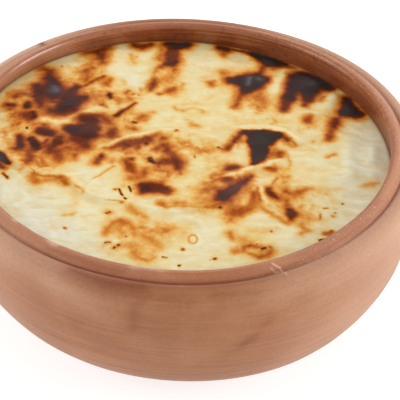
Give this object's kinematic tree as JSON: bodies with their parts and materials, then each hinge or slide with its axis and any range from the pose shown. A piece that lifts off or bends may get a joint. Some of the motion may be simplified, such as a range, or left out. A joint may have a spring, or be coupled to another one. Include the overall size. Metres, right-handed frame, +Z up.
{
  "type": "rice pudding",
  "caption": "Oven-baked rice pudding with a wrinkled, browned and burnt skin, filling a round hand-thrown clay bowl to just under its lip.",
  "frame": {"origin": "middle of the bowl's flat foot, on the surface that it stands on", "axes": "+Z up, -Y towards the side with the plainest stretch of lip, +X to its right; the rim rises slightly towards +X"},
  "size_m": [0.1321, 0.132, 0.0506],
  "materials": {
    "fired_clay": "unglazed and matt outside with fine throwing lines, clear brown glaze inside",
    "baked_pudding": "satin cream skin, wrinkled, with golden, brown and black burnt patches"
  },
  "bodies": {
    "root": {"clay_bowl": "fired_clay", "rice_pudding": "baked_pudding"}
  },
  "joints": []
}
